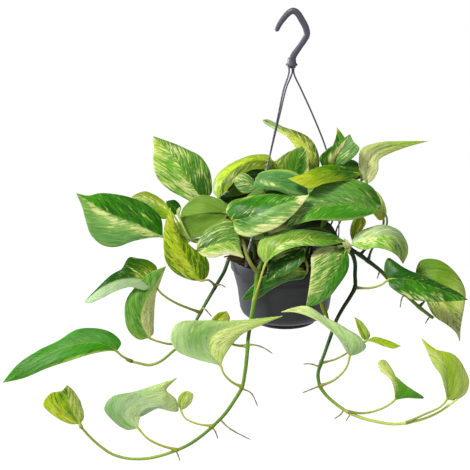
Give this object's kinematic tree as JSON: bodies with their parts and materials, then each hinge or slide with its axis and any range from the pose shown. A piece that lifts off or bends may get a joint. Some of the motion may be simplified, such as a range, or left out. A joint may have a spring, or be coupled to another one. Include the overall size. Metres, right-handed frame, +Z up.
{
  "type": "potted trailing house plant",
  "caption": "Trailing pothos with heart-shaped green leaves streaked in cream, in a dark grey plastic hanging pot on a hanger with a hook",
  "frame": {"origin": "where the hook bears on the rail it hangs from, at the inside of the hook's bend", "axes": "+Z up, -Y toward the viewer, +X to the viewer's right"},
  "size_m": [0.552, 0.3066, 0.5109],
  "materials": {
    "pot_plastic": "smooth moulded plastic, faint sheen",
    "hanger_plastic": "smooth moulded plastic",
    "soil": "moist peaty potting mix",
    "foliage": "waxy leaves, dark to lime green, streaked and marbled with cream"
  },
  "bodies": {
    "root": {"pot": "pot_plastic", "soil": "soil", "hook": "hanger_plastic", "arm_right": "hanger_plastic", "arm_back_left": "hanger_plastic", "arm_front_left": "hanger_plastic", "vine_left": "foliage", "vine_front": "foliage", "vine_right": "foliage", "vine_far_right": "foliage", "crown_left": "foliage", "crown_front": "foliage", "crown_right": "foliage", "crown_low": "foliage", "crown_back": "foliage", "crown_back_right": "foliage", "back_left": "foliage", "back_trailer": "foliage", "back_right": "foliage"}
  },
  "joints": []
}
